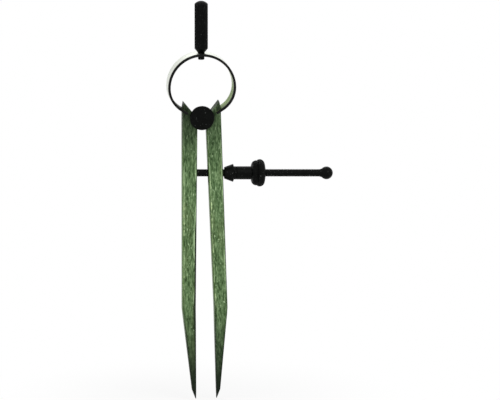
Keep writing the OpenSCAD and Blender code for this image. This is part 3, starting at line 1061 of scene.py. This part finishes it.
@dataclass
class Bow:
    """The bow spring, bent from a flat forked strip, in two halves.

    Lengths are in millimetres, heights are above the fulcrum and angles are in degrees.
    """

    width: float = 36.2
    height: float = 34.5
    strip_width: float = 10.0
    thickness: float = 1.25
    end_x: float = 11.1
    end_height: float = 4.7
    end_length: float = 4.0
    web_length: float = 2.2
    fork_width: float = 6.2
    edge_radius: float = 0.16
    edge_segments: int = 3
    edge_angle: float = 50.0
    sharp_angle: float = 40.0
    bend_start: float = 33.2
    bend_end: float = 4.5
    arc_steps: int = 72

    def centre(self) -> float:
        """Height of the bow's centre above the fulcrum."""
        return self.height - self.width / 2

    def radius(self) -> float:
        """Radius of the middle line over the crown."""
        return (self.width - self.thickness) / 2

    def path(self) -> list[tuple[Vector, Vector]]:
        """Middle line of the right half, from the crown to the fork's tip.

        Returns:
            Points and outward directions in millimetres above the fulcrum.
        """
        radius, centre = self.radius(), self.centre()
        drop = centre - self.end_height
        offset = (radius ** 2 - self.end_x ** 2 - drop ** 2) / (2 * (radius - self.end_x))
        side_radius = radius - offset
        sweep = math.asin(drop / side_radius)
        steps = self.arc_steps
        places = [(0.0, radius, math.pi / 2 * (1 - i / steps)) for i in range(steps)]
        places += [(offset, side_radius, -sweep * i / steps) for i in range(steps + 1)]
        line: list[tuple[Vector, Vector]] = []
        for middle, reach, angle in places:
            out = Vector((math.cos(angle), 0, math.sin(angle)))
            line.append((Vector((middle, 0, centre)) + out * reach, out))
        end, out = line[-1]
        along = Vector((out.z, 0, -out.x))
        return line + [(end + along * length, out) for length in (self.web_length, self.end_length)]

    def half(self, side: Side, material: Material) -> Piece:
        """One half of the bow.

        Args:
            side: Which half.
            material: Its finish.

        Returns:
            The new piece.
        """
        shape = bmesh.new()
        outside = shape.verts.layers.float.new(OUTSIDE)
        line = self.path()
        columns = (-self.strip_width / 2, -self.fork_width / 2, self.fork_width / 2, self.strip_width / 2)
        faces: list[list[list[bmesh.types.BMVert]]] = []
        for lift in (-self.thickness / 2, self.thickness / 2):
            rows = []
            for point, out in line:
                spot = point + out * lift
                rows.append([shape.verts.new(FULCRUM + Vector((spot.x * side.value, y, spot.z)) * MM)
                             for y in columns])
            for vert in (v for row in rows for v in row):
                vert[outside] = float(lift > 0)
            faces.append(rows)
        fork_row = len(line) - 2
        for row in range(len(line) - 1):
            for column in range(len(columns) - 1):
                if column == 1 and row >= fork_row:
                    continue
                for rows in faces:
                    shape.faces.new((rows[row][column], rows[row + 1][column],
                                     rows[row + 1][column + 1], rows[row][column + 1]))
        over = {low: high for pair in zip(*faces) for low, high in zip(*pair)}
        for edge in [e for e in shape.edges if len(e.link_faces) == 1]:
            one, two = edge.verts
            if one in over:
                shape.faces.new((one, two, over[two], over[one]))
        piece = mesh_object(f"bow_half_{side.name.lower()}", shape)
        bevel = piece.modifiers.new("rolled_edges", "BEVEL")
        bevel.width = self.edge_radius * MM
        bevel.segments = self.edge_segments
        bevel.limit_method = "ANGLE"
        bevel.angle_limit = math.radians(self.edge_angle)
        apply_modifiers(piece)
        finish_mesh(piece, material, self.sharp_angle)
        return piece

    def build(self) -> None:
        """Makes both halves."""
        steel = BowSteel(self.strip_width / 2, FULCRUM.z / MM, self.centre(), self.radius())
        material = steel.material("bow_spring_steel")
        for side in Side:
            piece = self.half(side, material)
            leg = side.leg()
            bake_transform(piece)
            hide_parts("bow_spring")
            LOG.info("%s: %d faces, bends with %s", piece.name, len(piece.data.polygons), leg)


@dataclass
class Handle(BlackParts):
    """The knurled handle and the rivet that holds it on the bow.

    Lengths are in millimetres, heights are above the fulcrum and angles are in degrees.
    """

    seat: float = 34.41
    foot_radius: float = 1.65
    cone_start: float = 34.5
    cone_end: float = 36.9
    cone_steps: int = 8
    grip_radius: float = 3.55
    grip_steps: int = 170
    top: float = 62.5
    dome_height: float = 1.7
    dome_steps: int = 14
    segments: int = 208
    sharp_angle: float = 28.0
    rivet_radius: float = 1.7
    rivet_top: float = 33.18
    rivet_height: float = 2.2
    rivet_round: float = 0.3
    rivet_angle: float = -80.0
    rivet_steps: int = 7
    rivet_segments: int = 48
    shank_radius: float = 1.0
    knurl_teeth: int = 26
    knurl_pitch: float = 0.85
    knurl_depth: float = 0.16
    knurl_foot: float = 0.3
    knurl_over: float = 0.1

    def build(self) -> None:
        """Makes the handle and its rivet."""
        grip_top = self.top - self.dome_height
        dome_radius = (self.grip_radius ** 2 + self.dome_height ** 2) / (2 * self.dome_height)
        dome_start = math.degrees(math.asin(1 - self.dome_height / dome_radius))
        shoulder = (self.grip_radius, self.cone_end)
        profile = [(0.0, self.seat), (self.foot_radius, self.seat)]
        profile += divided((self.foot_radius, self.cone_start), shoulder, self.cone_steps)
        profile += divided(shoulder, (self.grip_radius, grip_top), self.grip_steps)
        profile += arc((0.0, self.top - dome_radius), dome_radius, dome_start, 90, self.dome_steps)
        piece = mesh_object("knurled_handle", lathe(profile, self.segments))
        knurl = KnurlCut(Knurl.DIAMOND, self.knurl_teeth, self.knurl_depth, self.cone_end + self.knurl_foot,
                         grip_top + self.knurl_over, pitch=self.knurl_pitch)
        knurl.press(piece, self.black)
        piece.data.transform(Matrix.Translation(FULCRUM))
        self.done(piece, "bow_frame", "handle", self.sharp_angle)
        self.rivet()

    def rivet(self) -> None:
        """Makes the rivet's button head below the bow, with its shank."""
        base = self.rivet_top - self.rivet_height
        flat = self.rivet_radius - self.rivet_round
        corner = (flat, base + self.rivet_round)
        profile = [(0.0, base), (flat, base)]
        profile += arc(corner, self.rivet_round, self.rivet_angle, 0, self.rivet_steps)
        profile += [(self.rivet_radius, self.rivet_top), (self.shank_radius, self.rivet_top),
                    (self.shank_radius, self.cone_end), (0.0, self.cone_end)]
        piece = mesh_object("bow_rivet", lathe(profile, self.rivet_segments), Matrix.Translation(FULCRUM))
        self.done(piece, "bow_frame", "handle_rivet")


@dataclass
class Fulcrum(BlackParts):
    """The stud with its front flange, and the riveted rear flange.

    Lengths are in millimetres, and both faces are measured from the legs' middle plane.
    """

    flange_radius: float = 6.45
    rear_radius: float = 4.9
    core_radius: float = 4.2
    tenon_radius: float = 2.2
    inner_face: float = 3.1
    outer_face: float = 4.7
    chamfer: float = 0.45
    corner: float = 0.12
    foot_in: float = 0.048
    foot_up: float = 0.06
    face_out: float = 0.024
    face_down: float = 0.036
    tenon_head: float = 0.5
    head_flat: float = 0.55
    head_round: float = 0.85
    head_rise: float = 0.45
    segments: int = 128

    def rim(self, edge: float) -> Profile:
        """Outer edge of a flange, from its inner face to its chamfered outer face.

        Args:
            edge: The flange's radius.

        Returns:
            The points.
        """
        foot, slope = self.outer_face - self.chamfer, edge - self.chamfer
        return [(edge - self.corner, self.inner_face), (edge, self.inner_face + self.corner),
                (edge, foot - self.corner), (edge - self.foot_in, foot + self.foot_up),
                (slope + self.face_out, self.outer_face - self.face_down),
                (slope - self.corner, self.outer_face)]

    def build(self) -> None:
        """Makes the stud and the rear flange."""
        inner, outer, tenon = self.inner_face, self.outer_face, self.tenon_radius
        head = -outer - self.tenon_head
        stud = [(0.0, head), (tenon * self.head_flat, head),
                (tenon * self.head_round, head + self.tenon_head * self.head_rise),
                (tenon, -outer), (tenon, -inner), (self.core_radius, -inner), (self.core_radius, inner)]
        stud += self.rim(self.flange_radius) + [(0.0, outer)]
        washer = [(tenon, -outer)] + [(r, -s) for r, s in reversed(self.rim(self.rear_radius))]
        washer += [(tenon, -inner)]
        place = Matrix.Translation(FULCRUM) @ TURNED_TO_FRONT
        for name, profile, node in (("fulcrum_stud_turned", stud, "fulcrum_stud"),
                                    ("fulcrum_rear_flange", washer, "fulcrum_washer")):
            piece = mesh_object(name, lathe(profile, self.segments), place)
            self.done(piece, "bow_frame", node)


@dataclass
class Screw(BlackParts):
    """The threaded screw with its flat eye, and the ball on its end.

    Lengths are in millimetres, stations are from the screw's pin and angles are in degrees.
    """

    radius: float = 1.95
    pitch: float = 0.8
    thread_depth: float = 0.1
    thread_start: float = 4.4
    thread_rise: float = 2.0
    thread_fall: float = 1.0
    thread_flank: Ramp = (0.5, 1.0)
    shoulder: float = 69.7
    eye_radius: float = 2.15
    eye_half: float = 1.7
    eye_overlap: float = 0.4
    eye_segments: int = 48
    pin_radius: float = 1.07
    ball_centre: float = 73.4
    ball_radius: float = 3.395
    ball_angle: float = -46.0
    ball_steps: int = 36
    ball_segments: int = 64
    neck_radius: float = 2.1
    neck_length: float = 0.5
    segments: int = 40
    rows_per_turn: int = 8
    sharp_angle: float = 50.0

    def build(self) -> None:
        """Makes the screw and its ball."""
        turns = (self.shoulder - self.thread_start) / self.pitch
        rows = round(turns * self.rows_per_turn)
        root = self.eye_radius - self.eye_overlap
        profile = [(0.0, root), (self.radius, root)]
        profile += divided((self.radius, self.thread_start), (self.radius, self.shoulder), rows)
        profile += [(self.radius, self.shoulder), (0.0, self.shoulder)]
        rod = mesh_object("threaded_screw", lathe(profile, self.segments))
        self.cut_thread(rod)
        self.add_eye(rod)
        rod.data.transform(ON_SCREW)
        self.done(rod, "screw", "adjusting_screw", self.sharp_angle)
        ball = [(0.0, self.shoulder), (self.radius, self.shoulder),
                (self.neck_radius, self.shoulder + self.neck_length)]
        ball += arc((0.0, self.ball_centre), self.ball_radius, self.ball_angle, 90, self.ball_steps)
        ball[-1] = (0.0, self.ball_centre + self.ball_radius)
        piece = mesh_object("stop_ball", lathe(ball, self.ball_segments), ON_SCREW)
        self.done(piece, "screw", "screw_stop_ball")

    def cut_thread(self, rod: Piece) -> None:
        """Cuts the helical thread into a plain rod on the Z axis.

        Args:
            rod: The rod.
        """
        sizes = {"Pitch": self.pitch * MM, "Depth": self.thread_depth * MM,
                 "Start": self.thread_start * MM, "End": self.shoulder * MM, "Radius": self.radius * MM}
        tree = GeometryTree("screw_thread", sizes)
        x, y, z = tree.position()
        groove = (z / tree.value("Pitch") - y.angle_to(x) / math.tau).wave()
        fade = tree.between(z, self.thread_rise * MM, self.thread_fall * MM)
        cut = groove.ramp(*self.thread_flank) * fade * tree.value("Depth")
        tree.sink(tree.works.add("ShaderNodeCombineXYZ", {0: x, 1: y}), cut / tree.value("Radius"))
        tree.run(rod, self.black)

    def add_eye(self, rod: Piece) -> None:
        """Joins the flat eye that turns on the pin to the rod's end.

        Args:
            rod: The rod on the Z axis.
        """
        ring = [(self.pin_radius, -self.eye_half), (self.eye_radius, -self.eye_half),
                (self.eye_radius, self.eye_half), (self.pin_radius, self.eye_half)]
        eye = lathe(ring, self.eye_segments)
        eye.transform(TURNED_TO_FRONT)
        eye.from_mesh(rod.data)
        eye.to_mesh(rod.data)
        eye.free()


@dataclass
class Nut(BlackParts):
    """The quick nut: cup, two knurled jaws and the wire ring that holds them together.

    Lengths are in millimetres, stations are from the screw's pin and angles are in degrees.
    """

    start: float = 18.751
    nose_radius: float = 3.1
    nose_out: float = 0.036
    rim_radius: float = 4.75
    rim_bevel: float = 0.45
    rim_foot: float = 0.36
    rim_in: float = 0.18
    corner: float = 0.12
    cone_length: float = 5.0
    collar_length: float = 1.3
    barrel_radius: float = 3.5
    barrel_length: float = 7.7
    bore_radius: float = 2.02
    socket_mouth: float = 3.0
    socket_depth: float = 4.4
    socket_slope: float = 0.15
    seat_gap: float = 0.12
    fillet_out: float = 0.15
    fillet_up: float = 0.2
    shoulder_radius: float = 6.65
    shoulder_round: float = 2.6
    shoulder_rise: float = 0.3
    shoulder_steps: int = 30
    wire_radius: float = 0.3
    groove_play: float = 0.1
    disc_radius: float = 7.25
    disc_thickness: float = 3.7
    disc_round: float = 2.5
    disc_steps: int = 40
    round_angle: float = 88.0
    hub_radius: float = 2.725
    hub_height: float = 0.45
    jaw_gap: float = 0.12
    jaw_sharp: float = 30.0
    teeth: int = 56
    knurl_depth: float = 0.15
    knurl_over: float = 0.4
    knurl_reach: float = 1.7
    knurl_run_out: float = 0.7
    segments: int = 336
    cup_segments: int = 96
    ring_opening: float = 30.0
    ring_steps: int = 120
    ring_sharp: float = 60.0
    wire_steps: int = 14

    def build(self) -> None:
        """Makes the cup, the jaws and the ring."""
        self.cup()
        for name, first, away in (("front", 180.0, -1), ("rear", 0.0, 1)):
            self.jaw(name, first, away)
        self.ring()

    def cup_end(self) -> float:
        """Station of the collar's end."""
        return self.start + self.cone_length + self.collar_length

    def shoulder_end(self) -> float:
        """Station where the rounded shoulder ends and the ring's groove starts."""
        knob = self.cup_end() + self.seat_gap + self.barrel_length
        return knob + self.shoulder_round + self.shoulder_rise

    def cup(self) -> None:
        """Makes the cone with the tapered socket."""
        rim, end, soft = self.start + self.cone_length, self.cup_end(), self.corner
        floor, bevel = end - self.socket_depth, rim - self.rim_bevel
        floor_radius = self.socket_mouth - self.socket_slope * self.socket_depth
        profile = [(self.bore_radius, self.start), (self.nose_radius - soft, self.start),
                   (self.nose_radius + self.nose_out, self.start + soft),
                   (self.rim_radius - soft, bevel - self.rim_foot), (self.rim_radius, bevel),
                   (self.rim_radius - self.rim_in, bevel + soft),
                   (self.barrel_radius, rim), (self.barrel_radius, end - soft),
                   (self.barrel_radius - soft, end), (self.socket_mouth, end),
                   (floor_radius, floor), (self.bore_radius, floor)]
        piece = mesh_object("nut_closing_cup", lathe(profile, self.cup_segments), ON_SCREW)
        self.done(piece, "cup", "nut_cup")

    def jaw_profile(self) -> Profile:
        """Half section of the nut, from its taper to its hub."""
        mouth = self.socket_mouth - self.seat_gap
        taper = self.socket_depth - self.seat_gap
        tip = self.cup_end() - taper
        barrel = self.cup_end() + self.seat_gap
        knob = barrel + self.barrel_length
        groove = self.shoulder_end()
        groove_radius = self.shoulder_radius - 2 * self.wire_radius
        disc = groove + 2 * self.wire_radius + self.groove_play
        disc_end = disc + self.disc_thickness
        hub_end = disc_end + self.hub_height
        dome = (self.shoulder_radius - self.shoulder_round, groove)
        edge = (self.disc_radius - self.disc_round, disc_end - self.disc_round)
        disc_angle = math.degrees(math.asin((disc - edge[1]) / self.disc_round))
        points = [(self.bore_radius, tip), (mouth - self.socket_slope * taper, tip), (mouth, barrel),
                  (self.barrel_radius - self.corner, barrel), (self.barrel_radius, barrel + self.corner),
                  (self.barrel_radius, knob), (self.barrel_radius + self.fillet_out, knob + self.fillet_up)]
        points += arc(dome, self.shoulder_round, -self.round_angle, 0, self.shoulder_steps)
        points += [(groove_radius, groove), (groove_radius, disc)]
        points += arc(edge, self.disc_round, disc_angle, self.round_angle, self.disc_steps)
        return points + [(self.hub_radius, hub_end), (self.bore_radius, hub_end)]

    def jaw(self, name: str, first: float, away: int) -> None:
        """Makes one half of the nut.

        Args:
            name: Which half.
            first: Angle where the half starts, in degrees.
            away: Sign of its y.
        """
        shape = lathe(self.jaw_profile(), self.segments // 2, (first, first + 180))
        for vert in shape.verts:
            vert.co.y = away * max(away * vert.co.y, self.jaw_gap / 2 * MM)
        piece = mesh_object(f"nut_{name}_half", shape)
        groove = self.shoulder_end()
        knurl = KnurlCut(Knurl.STRAIGHT, self.teeth, self.knurl_depth, groove - self.shoulder_round,
                         groove + self.disc_thickness + self.knurl_over,
                         self.shoulder_radius - self.knurl_reach, self.knurl_run_out)
        knurl.press(piece, self.black)
        piece.data.transform(ON_SCREW)
        self.done(piece, "nut", f"nut_jaw_{name}", self.jaw_sharp)

    def ring(self) -> None:
        """Makes the open wire ring in the groove."""
        station = self.shoulder_end() + self.wire_radius + self.groove_play / 2
        sizes = {"Radius": (self.shoulder_radius - self.wire_radius) * MM, "Wire": self.wire_radius * MM,
                 "Sweep": math.radians(360 - self.ring_opening), "Station": station * MM}
        tree = GeometryTree("wire_ring", sizes)
        works = tree.works
        start = math.radians(90 + self.ring_opening / 2)
        path = works.add("GeometryNodeCurveArc", {
            "Resolution": self.ring_steps, "Radius": tree.value("Radius"), "Start Angle": start,
            "Sweep Angle": tree.value("Sweep")})
        wire = works.add("GeometryNodeCurvePrimitiveCircle",
                         {"Resolution": self.wire_steps, "Radius": tree.value("Wire")})
        inputs = {"Curve": path, "Profile Curve": wire, "Fill Caps": True}
        tube = works.add("GeometryNodeCurveToMesh", inputs)
        lift = works.add("ShaderNodeCombineXYZ", {2: tree.value("Station")})
        tree.close(works.add("GeometryNodeTransform", {"Geometry": tube, "Translation": lift}))
        piece = mesh_object("nut_wire_ring", bmesh.new())
        tree.run(piece, self.black)
        piece.data.transform(ON_SCREW)
        self.done(piece, "nut", "nut_ring_spring", self.ring_sharp)


@dataclass(frozen=True)
class Lamp:
    """A soft square lamp: its place from the aim point and its side in metres, its power in watts."""

    name: str
    place: tuple[float, float, float]
    size: float
    power: float


@dataclass
class Studio:
    """White floor, soft light and the camera.

    The aim, the view's width and the floor's drop are in millimetres, other lengths in metres.
    """

    azimuth: float = -7.0
    elevation: float = 11.0
    distance: float = 8.0
    aim: tuple[float, float, float] = (26.04, 0.0, -94.4)
    view_width: float = 265.5
    sensor: float = 36.0
    ambient: float = 0.62
    white: Colour = (1.0, 1.0, 1.0)
    floor_paint: Colour = (0.93, 0.93, 0.93)
    floor_drop: float = 0.6
    floor_half: float = 30.0
    floor_white: float = 0.8
    shadow_fade: Ramp = (0.02, 0.12)
    lamps: tuple[Lamp, ...] = (Lamp("key", (0.45, -0.75, 0.75), size=0.7, power=3.4),
                               Lamp("fill", (-0.9, -0.7, 0.35), size=0.9, power=1.6),
                               Lamp("rim", (0.1, 0.8, 0.7), size=0.8, power=1.6))

    def build(self) -> None:
        """Makes the floor, the sky, the lamps and the camera."""
        self.floor()
        self.sky()
        for lamp in self.lamps:
            self.hang(lamp)
        self.camera()
        bpy.context.scene.view_settings.view_transform = "Standard"

    @staticmethod
    def seen(works: NodeWorks) -> Sock:
        """1 for rays that show the background: from the camera, off gloss or through glass."""
        path = works.node("ShaderNodeLightPath").outputs
        camera, gloss, glass = (Sock(works, path[f"Is {kind} Ray"])
                                for kind in ("Camera", "Glossy", "Transmission"))
        return camera.most(gloss).most(glass)

    def floor(self) -> None:
        """Makes a wide white floor that keeps the shadow."""
        low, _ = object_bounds()
        shape = bmesh.new()
        bmesh.ops.create_grid(shape, x_segments=1, y_segments=1, size=self.floor_half)
        made = mesh_object("floor", shape, Matrix.Translation((0, 0, low[2] - self.floor_drop * MM)))
        paint = bpy.data.materials.new("floor_white")
        paint.use_nodes = True
        works = NodeWorks(paint.node_tree)
        matt = works.add("ShaderNodeBsdfDiffuse", {"Color": self.floor_paint})
        glow = works.add("ShaderNodeEmission", {"Color": self.white, "Strength": 1.0})
        x, y, _ = works.split(works.add("ShaderNodeTexCoord", out="Object"))
        white = self.floor_white + x.reach(y).ramp(*self.shadow_fade) * (1 - self.floor_white)
        mixed = works.add("ShaderNodeMixShader", {"Fac": self.seen(works) * white, 1: matt, 2: glow})
        works.node("ShaderNodeOutputMaterial", {"Surface": mixed})
        made.data.materials.append(paint)
        made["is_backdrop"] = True

    def sky(self) -> None:
        """Makes it white all round, a little dimmer as a lamp than as a background."""
        world = bpy.data.worlds.new("white_room")
        world.use_nodes = True
        bpy.context.scene.world = world
        works = NodeWorks(world.node_tree)
        light, white = (works.add("ShaderNodeBackground", {"Color": self.white, "Strength": strength})
                        for strength in (self.ambient, 1.0))
        mixed = works.add("ShaderNodeMixShader", {"Fac": self.seen(works), 1: light, 2: white})
        works.node("ShaderNodeOutputWorld", {"Surface": mixed})

    def target(self) -> Vector:
        """Point that the camera looks at."""
        return Vector(self.aim) * MM

    def hang(self, lamp: Lamp) -> None:
        """Hangs a lamp and aims it at the tool.

        Args:
            lamp: The lamp.
        """
        data = bpy.data.lights.new(lamp.name, "AREA")
        data.size = lamp.size
        data.energy = lamp.power
        made = bpy.data.objects.new(lamp.name, data)
        bpy.context.collection.objects.link(made)
        place = Vector(lamp.place)
        made.location = self.target() + place
        made.rotation_euler = (-place).to_track_quat("-Z", "Y").to_euler()

    def camera(self) -> None:
        """Makes the camera at the photograph's angle."""
        turn, rise = math.radians(self.azimuth), math.radians(self.elevation)
        back = Vector((math.sin(turn) * math.cos(rise), -math.cos(turn) * math.cos(rise), math.sin(rise)))
        data = bpy.data.cameras.new("view")
        data.sensor_width = self.sensor
        data.lens = self.sensor * self.distance / (self.view_width * MM)
        made = bpy.data.objects.new("view", data)
        bpy.context.collection.objects.link(made)
        made.location = self.target() + back * self.distance
        made.rotation_euler = back.to_track_quat("Z", "Y").to_euler()
        bpy.context.scene.camera = made


def main() -> None:
    """Builds every piece."""
    logging.basicConfig(level=logging.INFO, format="%(message)s")
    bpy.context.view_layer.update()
    black = BlackOxide().material("black_oxide_steel")
    Studio().build()
    Legs(black).build()
    Bow().build()
    for group in (Handle, Fulcrum, Screw, Nut):
        group(black).build()


if __name__ == "__main__":
    main()
